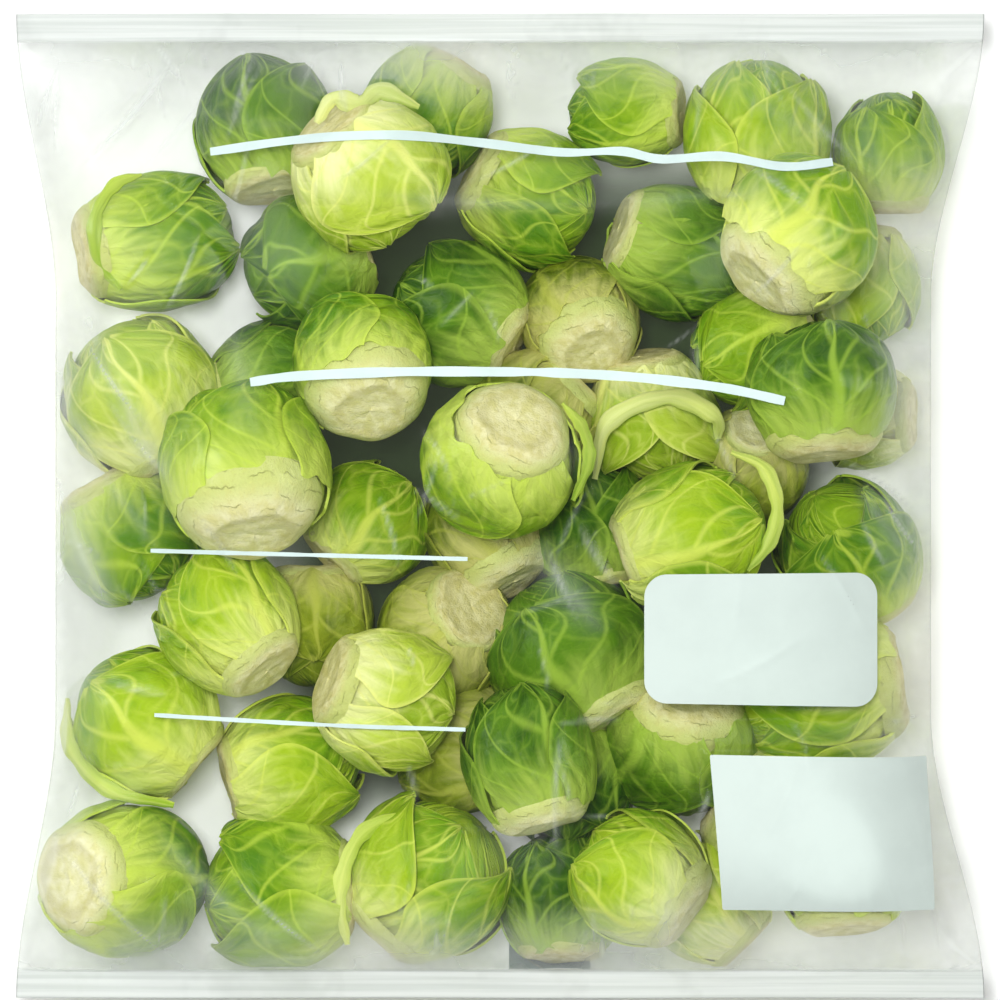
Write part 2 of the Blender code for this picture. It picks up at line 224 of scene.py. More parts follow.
class Nodes:
    """Adds nodes to a material, with inputs given as values or as other nodes' outputs."""

    def __init__(self, name):
        self.material = bpy.data.materials.new(name)
        self.material.use_nodes = True
        self.tree = self.material.node_tree
        self.tree.nodes.clear()
        self.output = self.tree.nodes.new("ShaderNodeOutputMaterial")

    def put(self, socket, value):
        if isinstance(value, bpy.types.NodeSocket):
            self.tree.links.new(value, socket)
        else:
            socket.default_value = (*value, 1.0) if socket.type == "RGBA" else value

    def node(self, kind, settings=None, **inputs):
        made = self.tree.nodes.new(kind)
        for key, value in (settings or {}).items():
            setattr(made, key, value)
        for key, value in inputs.items():
            self.put(made.inputs[key.replace("_", " ")], value)
        return made

    def math(self, operation, first, second=0.0, third=0.0, clamp=False):
        made = self.node("ShaderNodeMath", {"operation": operation, "use_clamp": clamp})
        for socket, value in zip(made.inputs, (first, second, third)):
            self.put(socket, value)
        return made.outputs[0]

    def times(self, first, second):
        return self.math("MULTIPLY", first, second)

    def times_add(self, first, second, third):
        return self.math("MULTIPLY_ADD", first, second, third)

    def step(self, value, start, end, low=0.0, high=1.0):
        span = {"From_Min": start, "From_Max": end, "To_Min": low, "To_Max": high}
        soft = {"interpolation_type": "SMOOTHSTEP"}
        return self.node("ShaderNodeMapRange", soft, Value=value, **span).outputs["Result"]

    def mix(self, share, first, second):
        made = self.node("ShaderNodeMix", {"data_type": "RGBA"})
        for number, value in ((0, share), (6, first), (7, second)):
            self.put(made.inputs[number], value)
        return made.outputs[2]

    def noise(self, vector, scale, detail=3.0, roughness=0.5, key="Fac"):
        given = {"Vector": vector, "Scale": scale, "Detail": detail, "Roughness": roughness}
        return self.node("ShaderNodeTexNoise", {"noise_dimensions": "2D"}, **given).outputs[key]

    def cells(self, vector, scale):
        """How far a place is from the nearest border between cells."""
        flat = {"voronoi_dimensions": "2D", "feature": "DISTANCE_TO_EDGE"}
        return self.node("ShaderNodeTexVoronoi", flat, Vector=vector, Scale=scale).outputs["Distance"]

    def join(self, x, y):
        return self.node("ShaderNodeCombineXYZ", X=x, Y=y).outputs[0]

    def value_at(self, key):
        """A mesh's named vector value, as its three parts and as a vector."""
        made = self.node("ShaderNodeAttribute", {"attribute_name": key})
        parts = self.node("ShaderNodeSeparateXYZ", Vector=made.outputs["Vector"])
        return (*parts.outputs, made.outputs["Vector"])

    def bump(self, height, strength, distance):
        return self.node("ShaderNodeBump", Strength=strength, Distance=distance, Height=height).outputs[0]

    def mix_shaders(self, share, first, second):
        made = self.node("ShaderNodeMixShader")
        for socket, value in zip(made.inputs, (share, first, second)):
            self.put(socket, value)
        return made.outputs[0]

    def surface(self, colour, values):
        """A plain surface shader, with its other inputs by name."""
        made = self.node("ShaderNodeBsdfPrincipled", Base_Color=colour)
        for key, value in values.items():
            self.put(made.inputs[key], value)
        return self.finish(made.outputs[0])

    def finish(self, shader):
        self.tree.links.new(shader, self.output.inputs["Surface"])
        return self.material


# Colours of a cut stem: its pith, darkest and lightest, and what lies in it and round it
FRESH_PITH = ((0.80, 0.78, 0.36), (0.92, 0.90, 0.58))
DRY_PITH = ((0.60, 0.53, 0.17), (0.82, 0.75, 0.36))
RING = (0.50, 0.46, 0.16)
TRIMMED_LEAF = (0.60, 0.68, 0.18)
CRACK = (0.34, 0.36, 0.08)
FIBRE = (0.40, 0.33, 0.12)

# Colours of the film: its gloss, clear, darkened as painted shade over the back's middle where it partly
# stands for the back's faint print, and where it is milky or welded
WHITE = (1.0, 1.0, 1.0)
CLEAR = (0.99, 0.995, 0.99)
BACK_PAINTED_SHADE = (0.17, 0.22, 0.13)
MILK = (0.72, 0.755, 0.73)
WELD = (0.62, 0.66, 0.63)
WELD_HAZE = 0.72
CREASE_HAZE = 0.36
FILM_IOR = 1.45
GLOSS_SHARE = 0.6
GLOSS_MOST = 0.22

# Inks: their colour, and how worn they are. THIN_INK is how bright a thin patch is, in shares of the colour.
INKS = {
    "pale_ink": ((0.68, 0.83, 0.80), 0.6),
    "panel_ink": ((0.65, 0.75, 0.70), 0.3),
    "dark_ink": ((0.10, 0.17, 0.17), 0.8),
}
THIN_INK = 0.86

# The studio's floor
FLOOR_WHITES = ((0.93, 0.94, 0.94), (0.96, 0.96, 0.96))
FLOOR_GLOW = 0.12
FLOOR_SIZE = 3.0
FLOOR_DROP = 0.2 * MM


def vein_nodes(n, a, b):
    """The midrib and side veins at a place on a leaf, as shares from 0 to 1, where vein_relief has them."""
    off = n.math("ABSOLUTE", a)
    base = n.math("POWER", n.math("SUBTRACT", 1.0, b, clamp=True), 2.5)
    rib_width = n.times_add(base, MIDRIB_WIDE, MIDRIB_THIN)
    rib = n.step(n.math("DIVIDE", off, rib_width), 1.3, 0.2)
    climb = n.times(n.math("POWER", off, 0.85), SIDE_SLOPE)
    side = n.times(n.math("SIGN", a), SIDE_OFFSET)
    place = n.times_add(n.math("SUBTRACT", b, climb), SIDE_VEINS, side)
    away = n.math("DIVIDE", n.math("PINGPONG", place, 0.5), SIDE_VEINS)
    width = n.times_add(n.math("SUBTRACT", 1.0, off, clamp=True), SIDE_WIDTH, 0.3 * SIDE_WIDTH)
    veins = n.step(n.math("DIVIDE", away, width), 1.2, 0.0)
    return rib, veins


def leaf_material(name, dark, light, vein, pale):
    """A waxy leaf: mottled green, paler at its base, puckered between its midrib and its net of veins."""
    n = Nodes(name)
    a, b, seed, place = n.value_at("leaf_place")
    rib, veins = vein_nodes(n, a, b)
    own_up = n.times_add(b, 1.3, n.times(seed, 5.3))
    straight = n.join(n.times_add(seed, 3.7, a), own_up)
    bent = n.node("ShaderNodeVectorMath", {"operation": "MULTIPLY_ADD"})
    wave = n.noise(straight, 5.0, 1.0, key="Color")
    for socket, value in zip(bent.inputs, (wave, PATTERN_WANDER, straight)):
        n.put(socket, value)
    where = bent.outputs[0]
    mottle = n.noise(where, MOTTLES, 3.0)
    net = n.cells(where, NET_CELLS)
    fine = n.cells(where, FINE_CELLS)
    net_share = n.times(n.step(net, 0.12, 0.0), n.step(mottle, 0.25, 0.65, 0.35, 1.0))
    fine_share = n.step(fine, 0.12, 0.0)
    own = n.times(n.math("SINE", n.times(seed, 5.0)), 0.24)
    tone = n.math("ADD", n.times_add(b, -0.36, 0.16), n.math("ADD", mottle, own))
    green = n.mix(n.step(tone, 0.28, 0.72), dark, light)
    # Painted glow: the blade is lighter along its net of veins, as if light shone through the leaf there
    painted_glow = n.step(net, 0.30, 0.05, 0.0, 0.32)
    green = n.mix(painted_glow, green, light)
    speck = n.noise(where, SPECKS, 2.0)
    green = n.mix(n.step(speck, 0.45, 0.9, 0.0, 0.3), green, dark)
    ray = n.noise(n.join(n.times(a, 6.0), own_up), 1.6, 2.0)
    base = n.step(n.times_add(ray, 0.5, n.math("SUBTRACT", 0.30, b)), -0.02, 0.56)
    green = n.mix(base, green, pale)
    side_rim = n.step(n.math("ABSOLUTE", a), 0.93, 0.99, 0.0, 0.5)
    rim = n.math("MAXIMUM", side_rim, n.step(b, 0.955, 0.995, 0.0, 0.5))
    green = n.mix(rim, green, vein)
    share, *others = (n.times(*pair) for pair in zip((fine_share, net_share, veins, rib), LINE_SHARES))
    for other in others:
        share = n.math("MAXIMUM", share, other)
    colour = n.mix(n.times(share, 0.8), green, vein)
    raised = n.times_add(n.step(fine, 0.0, 0.3), 0.16, n.step(net, 0.0, 0.45))
    raised = n.math("SUBTRACT", raised, n.times(speck, 0.12))
    wax = {
        "Roughness": n.step(mottle, 0.3, 0.7, 0.34, 0.46),
        "Normal": n.bump(raised, 0.55, 0.5 * MM),
        "Specular IOR Level": 0.3,
        "Coat Weight": 0.08,
        "Coat Roughness": 0.3,
    }
    return n.surface(colour, wax)


def cut_material():
    """The cut stem: pale pith in a darker ring, among trimmed leaf bases. Older cuts are browner."""
    n = Nodes("cut_stem")
    x, y, age, place = n.value_at("leaf_place")
    far = n.math("SQRT", n.math("ADD", n.times(x, x), n.times(y, y)))
    grain = n.noise(place, 3.2, 5.0, 0.6)
    fibre = n.noise(place, 18.0, 3.0, 0.6)
    fresh, dry = (n.mix(n.step(grain, 0.3, 0.7), *pith) for pith in (FRESH_PITH, DRY_PITH))
    colour = n.mix(age, fresh, dry)
    ring = n.times(n.step(far, 0.60, 0.85), n.step(far, 1.05, 0.92))
    colour = n.mix(n.times(ring, 0.4), colour, RING)
    trimmed = n.step(n.times_add(grain, 0.5, far), 1.35, 1.95, 0.0, 0.8)
    colour = n.mix(trimmed, colour, TRIMMED_LEAF)
    turn = n.math("ABSOLUTE", n.math("SINE", n.times_add(n.math("ARCTAN2", y, x), 2.5, age)))
    scallop = n.math("SUBTRACT", n.times_add(grain, 0.25, far), n.times(turn, 0.2))
    beside = n.math("PINGPONG", n.times(scallop, 3.0), 0.5)
    patchy = n.step(n.noise(place, 1.7, 2.0), 0.42, 0.62)
    crack = n.times(n.step(beside, 0.06, 0.0), patchy)
    crack = n.times(crack, n.step(far, 0.9, 1.1, 0.0, 0.6))
    colour = n.mix(crack, colour, CRACK)
    colour = n.mix(n.step(fibre, 0.58, 0.8, 0.0, 0.3), colour, FIBRE)
    height = n.math("ADD", grain, n.times(fibre, 0.5))
    height = n.math("SUBTRACT", height, crack)
    return n.surface(colour, {"Normal": n.bump(height, 0.7, 0.5 * MM), "Roughness": 0.6})


def film_material():
    """Clear film: nearly all light goes through, with gloss at its creases and a milky weld at each end."""
    n = Nodes("clear_film")
    weld, crease, milk_and_highlight, _ = n.value_at("film_place")
    where = n.node("ShaderNodeTexCoord").outputs["Object"]
    across, up, _ = n.node("ShaderNodeSeparateXYZ", Vector=where).outputs
    cloud = n.noise(where, 35.0, 4.0, 0.6)
    streak = n.noise(where, 240.0, 2.0)
    folds = n.cells(where, 85.0)
    # Painted highlights: the milky streaks also paint the film's soft reflections of the lights
    haze_and_highlight = n.times(n.step(cloud, 0.25, 0.7, 0.25, 1.0), milk_and_highlight)
    haze_and_highlight = n.math("ADD", haze_and_highlight, n.times(weld, WELD_HAZE))
    haze_and_highlight = n.math("ADD", haze_and_highlight, n.times(crease, CREASE_HAZE), clamp=True)
    height = n.times_add(streak, 0.1, n.step(folds, 0.0, 0.12))
    bump = n.bump(height, 0.25, 0.12 * MM)
    # Painted shade: the back's clear colour turns dark in its middle, so the gaps between the heads look
    # shaded; it partly stands for the back's faint print
    painted_shade, _, _, _ = n.value_at("film_painted_shade")
    clear = n.node("ShaderNodeBsdfTransparent", Color=n.mix(painted_shade, CLEAR, BACK_PAINTED_SHADE))
    gloss = n.node("ShaderNodeBsdfGlossy", Color=WHITE, Roughness=0.2, Normal=bump)
    drawn_out = n.join(n.times(across, 12.0), n.times(up, 900.0))
    lines = n.step(n.noise(drawn_out, 1.0, 2.0), 0.35, 0.65)
    welded = n.mix(lines, WELD, MILK)
    milk = n.node("ShaderNodeBsdfDiffuse", Color=n.mix(weld, MILK, welded))
    shine = n.node("ShaderNodeFresnel", IOR=FILM_IOR, Normal=bump)
    share = n.math("MINIMUM", n.times(shine.outputs[0], GLOSS_SHARE), GLOSS_MOST)
    glossy = n.mix_shaders(share, clear.outputs[0], gloss.outputs[0])
    return n.finish(n.mix_shaders(haze_and_highlight, glossy, milk.outputs[0]))


def ink_material(name, colour, worn):
    """Flat ink on film, a little thin in places and softly glossy under the film's surface."""
    n = Nodes(name)
    where = n.node("ShaderNodeTexCoord").outputs["Object"]
    patch = n.noise(where, 90.0, 4.0, 0.6)
    thin = tuple(THIN_INK * part for part in colour)
    tone = n.mix(n.step(patch, 0.3, 0.75, 0.0, worn), colour, thin)
    rough = n.step(patch, 0.3, 0.7, 0.55, 0.7)
    return n.surface(
        tone,
        {"Roughness": rough, "Normal": n.bump(patch, 0.15, 0.1 * MM), "Specular IOR Level": 0.2},
    )


def floor_material():
    n = Nodes("studio_floor")
    where = n.node("ShaderNodeTexCoord").outputs["Object"]
    tone = n.mix(n.noise(where, 3.0), *FLOOR_WHITES)
    lit = {"Roughness": 0.8, "Emission Color": WHITE, "Emission Strength": FLOOR_GLOW}
    return n.surface(tone, lit)


# Heads


class Head:
    """A sprout read from its solid: its oval's middle and half sizes, and its own axes with the tip up."""

    def __init__(self, node, order, slot):
        self.node = node
        self.order = order
        self.slot = slot
        mesh = frame["nodes"][node].data
        mesh.calc_loop_triangles()
        points = np.array([vertex.co for vertex in mesh.vertices])
        corners = points[np.array([triangle.vertices for triangle in mesh.loop_triangles])]
        turned = np.cross(corners[:, 1] - corners[:, 0], corners[:, 2] - corners[:, 0])
        area = np.linalg.norm(turned, axis=1)
        normal = turned / area[:, None]
        key, group = np.unique(np.round(normal, 2), axis=0, return_inverse=True)
        largest = np.argmax(np.bincount(group.ravel(), weights=area, minlength=len(key)))
        chosen = group.ravel() == largest
        self.stem = unit((normal[chosen] * area[chosen, None]).sum(axis=0))
        level = points @ self.stem
        rim = np.unique(np.round(points[level > level.max() - CUT_TOLERANCE], 5), axis=0)
        disc = rim.mean(axis=0)
        radius = np.linalg.norm(rim - disc, axis=1).max()
        self.along = (level.max() - level.min()) / (math.cos(CUT_ANGLE) + TIP_SHARE)
        self.middle = disc - self.stem * self.along * math.cos(CUT_ANGLE)
        swell = SLIM.get(order) or next(share for last, share in SWELLS if order <= last)
        self.across = swell * radius / math.sin(CUT_ANGLE)
        self.along *= swell
        reach = np.sqrt(self.across**2 * (1 - self.stem**2) + self.along**2 * self.stem**2) * LEAF_ROOM
        self.middle[2] = max(self.middle[2], reach[2] + FILM_GAP)
        self.middle[:2] = keep_inside(*self.middle[:2], *reach[:2])
        self.bulge = phases(np.random.default_rng(FORM_SEED + order), 4)
        tip = -self.stem
        side = unit(np.cross((0.0, 0.0, 1.0), tip))
        self.axes = np.array((side, np.cross(tip, side), tip))

    def place(self, azimuth, angle, share):
        """Points of the head at azimuths about its axis and angles from its stem, at shares of its size."""
        share = share * self.form(azimuth, angle)
        wide = self.across * share * np.sin(angle)
        deep = -self.along * share * np.cos(angle)
        local = np.stack([wide * np.cos(azimuth), wide * np.sin(azimuth), deep], -1)
        return local @ self.axes + self.middle

    def form(self, azimuth, angle):
        """How far the head bulges past its oval: two or three flat sides, and its own shoulder."""
        p = self.bulge
        sides = np.sin(2 * azimuth + p[0]) + 0.7 * np.sin(3 * azimuth + p[1])
        return 1 + BULGE * (sides * np.sin(angle) ** 2 + 0.7 * np.sin(2.6 * angle + p[2]) - 0.3)

    def surface(self, across, up, grown, side, beside):
        """The height of the grown oval's top (side 1) or underside (-1), and a value for places beside it."""
        form = np.eye(3) / (self.across + grown) ** 2
        long = 1 / (self.along + grown) ** 2 - 1 / (self.across + grown) ** 2
        form += long * np.outer(self.stem, self.stem)
        x = across - self.middle[0]
        y = up - self.middle[1]
        b = form[0, 2] * x + form[1, 2] * y
        c = form[0, 0] * x * x + 2 * form[0, 1] * x * y + form[1, 1] * y * y - 1
        inside = b * b - form[2, 2] * c
        height = self.middle[2] + (-b + side * np.sqrt(np.maximum(inside, 0.0))) / form[2, 2]
        return np.where(inside > 0, height, beside)


def vein_relief(a, b):
    """The midrib and side veins at places on a leaf, as soft shares from 0 to 1."""
    off = np.abs(a)
    rib_width = MIDRIB_THIN + MIDRIB_WIDE * np.clip(1 - b, 0, 1) ** 2.5
    rib = 1 - ease(0.3, 1.6, off / rib_width)
    place = (b - SIDE_SLOPE * off**0.85) * SIDE_VEINS + np.sign(a) * SIDE_OFFSET
    away = np.abs(place - np.round(place)) / SIDE_VEINS
    side = (1 - ease(0.2, 1.9, away / (SIDE_WIDTH * (1.4 - off)))) * (1 - 0.6 * off)
    return np.maximum(rib, 0.7 * side)


def leaf_outline(b):
    """A leaf's half width along it, in shares of the widest."""
    past = np.clip((b - 0.40) / 0.60, 0.0, 1.0)
    return 0.80 + 0.20 * ease(0.0, 0.4, b) - 0.90 * past**2.6


def leaf_grid(count):
    """Places on a leaf, with its outer rows and columns twice, and how far the outermost are turned down."""
    a = np.linspace(-1, 1, count)
    b = np.sin(np.linspace(0, 1, count) * math.pi / 2) ** 0.9
    b, a = np.meshgrid(np.pad(b, 1, "edge"), np.pad(a, 1, "edge"), indexing="ij")
    low = np.zeros(a.shape)
    low[:, 0] = low[:, -1] = low[0] = low[-1] = EDGE_WALL
    return a, b, low


def wander(a, b, p):
    """Places on a leaf shifted by slow waves, so that its veins don't run straight."""
    free = VEIN_WANDER * (1 - a * a)
    off = free * (np.sin(4.1 * b + 2.3 * a + p[0]) + 0.6 * np.sin(9.7 * b - 3.1 * a + p[1]))
    up = 0.8 * VEIN_WANDER * (np.sin(4.7 * a + p[2]) + 0.7 * np.sin(8.9 * a + 5.3 * b + p[3]))
    return a + off, b + up * np.minimum(4 * b, 1)


def wrapper_leaf(head, draw, count, azimuth, wide, tip, share, curl, curl_side):
    """One wrapper leaf on its head, with its edge turned down to the leaf below."""
    start = head.base + math.radians(draw.uniform(-3, 4))
    p = phases(draw, 4)
    wave = draw.uniform(0.5, 1.0)
    seed = draw.uniform(0, 10)
    lift = EDGE_LIFT * draw.uniform(0.6, 1.5)
    a, b, low = leaf_grid(count)
    ruffle = wave * (0.020 * np.sin(7 * b + p[0]) + 0.012 * np.sin(17 * b + p[1]))
    azimuth = azimuth + a * wide * (leaf_outline(b) + ruffle * np.abs(a) ** 3)
    rise = wave * (0.030 * np.sin(5 * a + p[2]) + 0.012 * np.sin(13 * a + p[3])) * b**3
    torn = 0.05 * np.sin(6 * a + p[1]) + 0.03 * np.sin(15 * a + p[0])
    angle = start + (tip - start) * b + rise + torn * (1 - b) ** 6
    edge = np.maximum(ease(0.72, 1.0, np.abs(a)), ease(0.80, 1.0, b))
    edge = np.maximum(edge, BASE_LIFT * ease(0.14, 0.0, b))
    vein_a, vein_b = wander(a, b, p)
    share = share + lift * edge - 0.008 * np.sin(6 * a + 4 * b + p[0]) * (1 - edge)
    share += RIB_LIFT * vein_relief(vein_a, vein_b) * (1 - 0.6 * edge)
    pucker = np.sin(11 * vein_a + p[2]) * np.sin(14 * vein_b + p[3])
    share += PUCKER * pucker * (1 - edge) * ease(0, 0.3, b)
    if curl:
        side = ease(0.25, 1.0, a * curl_side if curl_side else b)
        share += curl * side**2 * (1 + 0.35 * np.sin(9 * b + p[1]) + 0.2 * np.sin(21 * b + p[2]))
    return sheet(head.place(azimuth, angle, share - low), vein_a, vein_b, seed)


def turns(count):
    """Azimuths all the way round, in one row."""
    return np.linspace(0, 2 * math.pi, count, endpoint=False)[None, :]


def phases(draw, count=None):
    return draw.uniform(0, 2 * math.pi, count)


def sheet(points, a, b, value, closed=False, look=0):
    """A grid's points and its values for the material, whether it closes on itself, and which material."""
    values = np.stack([a, b, np.full(a.shape, value)], -1)
    return points.reshape(-1, 3), values.reshape(-1, 3), a.shape, closed, look


def wrapper_leaves(head, draw, count):
    """The head's leaves, outermost first, each turned by the golden angle from the last."""
    azimuth = phases(draw)
    leaves = []
    for kind_count, widths, tips in LEAF_KINDS:
        for _ in range(kind_count):
            number = len(leaves)
            turn = azimuth + LEAF_TURN * number + draw.uniform(-0.2, 0.2)
            wide = math.radians(draw.uniform(*widths))
            tip = math.radians(draw.uniform(*tips))
            curl = CURLS.get((head.order, number), (0.0, 0))
            leaves.append(wrapper_leaf(head, draw, count, turn, wide, tip, 1.0 - LEAF_STEP * number, *curl))
    return leaves


def core_grid(head, draw, rows=30, columns=48):
    """The inner head that the wrapper leaves lie on, folded into a few tight leaves towards its tip."""
    angle = np.linspace(math.radians(24), math.radians(179), rows)[:, None]
    azimuth = turns(columns)
    phase = phases(draw)
    fold = np.abs(np.sin(1.5 * azimuth + 1.2 * angle + phase)) ** 0.5
    share = CORE_SHARE - 0.03 + 0.035 * fold * np.sin(angle) ** 0.3
    a = 2 * fold - 1 + 0 * angle
    b = (angle - angle[0]) / (angle[-1] - angle[0]) + 0 * azimuth
    return sheet(head.place(azimuth, angle, share), 0.9 * a, b, phase, closed=True)


def cut_grid(head, draw, rows=34, columns=72):
    """The cut end: the stem's rough face, and round it the trimmed bases of the outermost leaves."""
    azimuth = turns(columns)
    run = np.linspace(0.001, 1.0, rows)[:, None]
    p = phases(draw, 4)
    inner = np.minimum(run / FACE_ROWS, 1.0)
    outer = np.clip((run - FACE_ROWS) / (1 - FACE_ROWS), 0.0, 1.0)
    ragged = 1 + (0.05 * np.sin(3 * azimuth + p[0]) + 0.03 * np.sin(7 * azimuth + p[1])) * inner * (1 - outer)
    angle = CUT_ANGLE + outer * (head.base + math.radians(9) - CUT_ANGLE)
    bases = np.abs(np.sin(2.5 * azimuth + 3 * outer + p[2])) ** 0.4
    swollen = 0.02 * bases * np.sin(math.pi * np.minimum(1.3 * outer, 1))
    share = 0.985 + swollen - 0.06 * ease(0.7, 1.0, outer)
    radius = head.across * np.sin(angle) * share * inner * ragged
    rough = 0.012 * np.sin(9 * inner + p[3]) * np.sin(4 * azimuth + p[1]) * inner
    dish = 0.02 * (1 - inner**2) * (1 + 0.5 * np.sin(2 * azimuth + p[2]))
    height = head.along * (np.cos(angle) * share + (rough - dish) * (1 - outer))
    # Seen from its face a cut stem turns the other way round, so its azimuths run backwards
    local = np.stack([radius * np.cos(-azimuth), radius * np.sin(-azimuth), -height + 0 * radius], -1)
    age = CUT_AGES.get(head.order, draw.uniform(0.2, 0.8))
    far = inner + outer
    points = local @ head.axes + head.middle
    return sheet(points, far * np.cos(azimuth), far * np.sin(azimuth), age, closed=True, look=1)


def rolled_rim(head, draw, path, width, height, rows=60, columns=20):
    """The rim of a leaf that stands away: a flat, wavy roll along a path above the head's middle."""
    line = smooth_path(path, rows) * MM
    line[:, 2] += head.middle[2]
    run = np.gradient(line, axis=0)
    side = unit(np.stack([run[:, 1], -run[:, 0], 0 * run[:, 0]], -1))
    place = np.linspace(0, 1, rows)[:, None]
    p = phases(draw, 3)
    full = np.sin(math.pi * np.clip(place, 0.02, 0.98)) ** 0.4
    turn = turns(columns)
    wave = 1 + 0.14 * np.sin(17 * place + p[0]) + 0.08 * np.sin(41 * place + p[1])
    out = 0.5 * width * MM * full * wave * np.cos(turn)
    up = 0.5 * height * MM * full * np.sin(turn) + 0.12 * width * MM * np.sin(13 * place + p[2])
    up = up - 0.35 * np.abs(out)
    points = line[:, None] + out[..., None] * side[:, None] + up[..., None] * np.array((0, 0, 1.0))
    a = 0.30 + 0.12 * np.cos(turn) + 0 * place
    b = 0.12 + 0.25 * place + 0 * turn
    return sheet(points, a, b, p[0], closed=True)


def make_head(head, leaf_look, cut_look):
    draw = np.random.default_rng(SEED + head.order)
    head.base = math.radians(CUT_SIZES.get(head.order, draw.uniform(*CUT_SPREAD)))
    count = FRONT_GRID if head.order <= FRONT_HEADS else BACK_GRID
    parts = [*wrapper_leaves(head, draw, count), core_grid(head, draw), cut_grid(head, draw)]
    if head.order in RIMS:
        parts.append(rolled_rim(head, draw, *RIMS[head.order]))
    points, places, shapes, closed, looks = zip(*parts)
    starts = np.cumsum([0] + [len(part) for part in points])
    faces = [grid_faces(*shape, start, joined) for shape, start, joined in zip(shapes, starts, closed)]
    looks = [np.full(len(part), look) for part, look in zip(faces, looks)]
    points = np.concatenate(points)
    points[:, 2] = np.maximum(points[:, 2], FILM_GAP)
    points[:, 0], points[:, 1] = keep_inside(points[:, 0], points[:, 1], 2 * FILM_GAP, 2 * FILM_GAP)
    head.points = points
    head.item = mesh_object(
        head.node.replace("sprout", "head"),
        points,
        np.concatenate(faces),
        (leaf_look, cut_look),
        np.concatenate(looks),
        {"leaf_place": np.concatenate(places)},
        math.radians(55),
    )
    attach(head.item, "root")
    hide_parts(head.node)


# Leaves that curl away, by head and leaf: how far in shares of the head's size, and side or 0 for the tip
CURLS = {
    (2, 0): (0.10, 1),
    (10, 0): (0.09, 1),
    (10, 1): (0.06, -1),
    (11, 1): (0.08, 1),
    (24, 0): (0.22, 0),
    (24, 1): (0.16, 0),
}

# Rims of leaves that stand away, by head, in millimetres: points (across, up, over its middle), width, height
RIMS = {
    2: (((-67, 62, 8), (-72, 60, 10), (-75.6, 54, 11), (-75, 46, 10.5), (-71, 40.5, 9)), 2.6, 1.0),
    3: (((-34, 71, 8), (-31, 75.5, 7), (-26, 74.5, 8), (-22, 77, 7), (-15, 74, 7)), 3.6, 1.2),
    10: (((43, 10, 8), (49, 7, 9), (51.5, 0, 9), (50, -7, 8), (46, -12, 7)), 2.8, 1.0),
    11: (((11.5, 19, 10), (15.5, 14, 8), (16.4, 8, 7), (13.5, 1, 6)), 2.4, 0.9),
    15: (((-81, -36, 6), (-80.5, -45, 7), (-73, -53, 8), (-61, -56, 7)), 3.0, 0.9),
    21: (((-28.5, -82, 7), (-30, -72, 9), (-26, -61.5, 9), (-17, -57, 8)), 3.0, 0.9),
    24: (((17.7, 5, 10), (20.3, 15.6, 14), (31.4, 20.3, 15.5), (40, 16.7, 14.5), (40.8, 12.5, 12)), 3.5, 1.3),
}

# How far the trimmed end reaches on heads that show it large, in degrees from the stem, by head
CUT_SIZES = {7: 50, 8: 46, 11: 44, 12: 60, 13: 58, 16: 42, 20: 44, 22: 44, 31: 55, 38: 50, 44: 50}

# How brown a cut stem is, from 0 for a fresh cut, by head
CUT_AGES = {7: 0.1, 11: 0.4, 12: 0.3, 13: 0.2, 14: 0.2, 16: 0.0, 20: 0.0, 22: 0.1}

# Blade (dark, light), vein and base colours for each material slot of the record
LEAF_LOOKS = {
    "leaf_dark": ((0.025, 0.095, 0.001), (0.1, 0.235, 0.005), (0.367, 0.551, 0.055), (0.382, 0.53, 0.074)),
    "leaf_medium": (
        (0.089, 0.239, 0.003), (0.251, 0.424, 0.008), (0.579, 0.742, 0.078), (0.594, 0.721, 0.127)
    ),
    "leaf_light": ((0.179, 0.36, 0.004), (0.378, 0.551, 0.014), (0.735, 0.827, 0.133), (0.735, 0.816, 0.225)),
    "leaf_pale": ((0.3, 0.456, 0.014), (0.509, 0.647, 0.055), (0.846, 0.88, 0.235), (0.846, 0.88, 0.382)),
    "leaf_olive": ((0.095, 0.148, 0.003), (0.261, 0.329, 0.014), (0.489, 0.53, 0.078), (0.572, 0.562, 0.18)),
}


def make_heads():
    slots = {part["node"]: part["material_slot"] for part in frame["record"]["subparts"]}
    looks = {slot: leaf_material(slot, *colours) for slot, colours in LEAF_LOOKS.items()}
    cut_look = cut_material()
    heads = []
    for node in sorted(name for name in frame["nodes"] if name.startswith("sprout_")):
        head = Head(node, int(node.split("_")[1]), slots[node])
        make_head(head, looks[head.slot], cut_look)
        heads.append(head)
    return heads


# Film


def relax(height, floor, steps):
    """Draws a height field tight over its floor, with its outer rows and columns held."""
    for _ in range(steps):
        mean = (height[:-2, 1:-1] + height[2:, 1:-1] + height[1:-1, :-2] + height[1:-1, 2:]) / 4
        height[1:-1, 1:-1] = np.maximum(mean, floor[1:-1, 1:-1])
    return height


def resample(field, rows, columns):
    """A field on an even grid, read at another even grid's points."""
    down = np.linspace(0, field.shape[0] - 1, rows)
    right = np.linspace(0, field.shape[1] - 1, columns)
    tall = np.array([np.interp(down, np.arange(field.shape[0]), column) for column in field.T]).T
    return np.array([np.interp(right, np.arange(field.shape[1]), row) for row in tall])


def tight_over(floor, edge):
    """The film's height over the heads, found on ever finer grids."""
    height = edge
    for share, steps in RELAXING:
        size = (floor.shape[0] // share, floor.shape[1] // share)
        here, rim, height = (resample(field, *size) for field in (floor, edge, height))
        height = np.maximum(height, here)
        height[[0, -1]] = rim[[0, -1]]
        height[:, [0, -1]] = rim[:, [0, -1]]
        height = relax(height, here, steps)
    return height


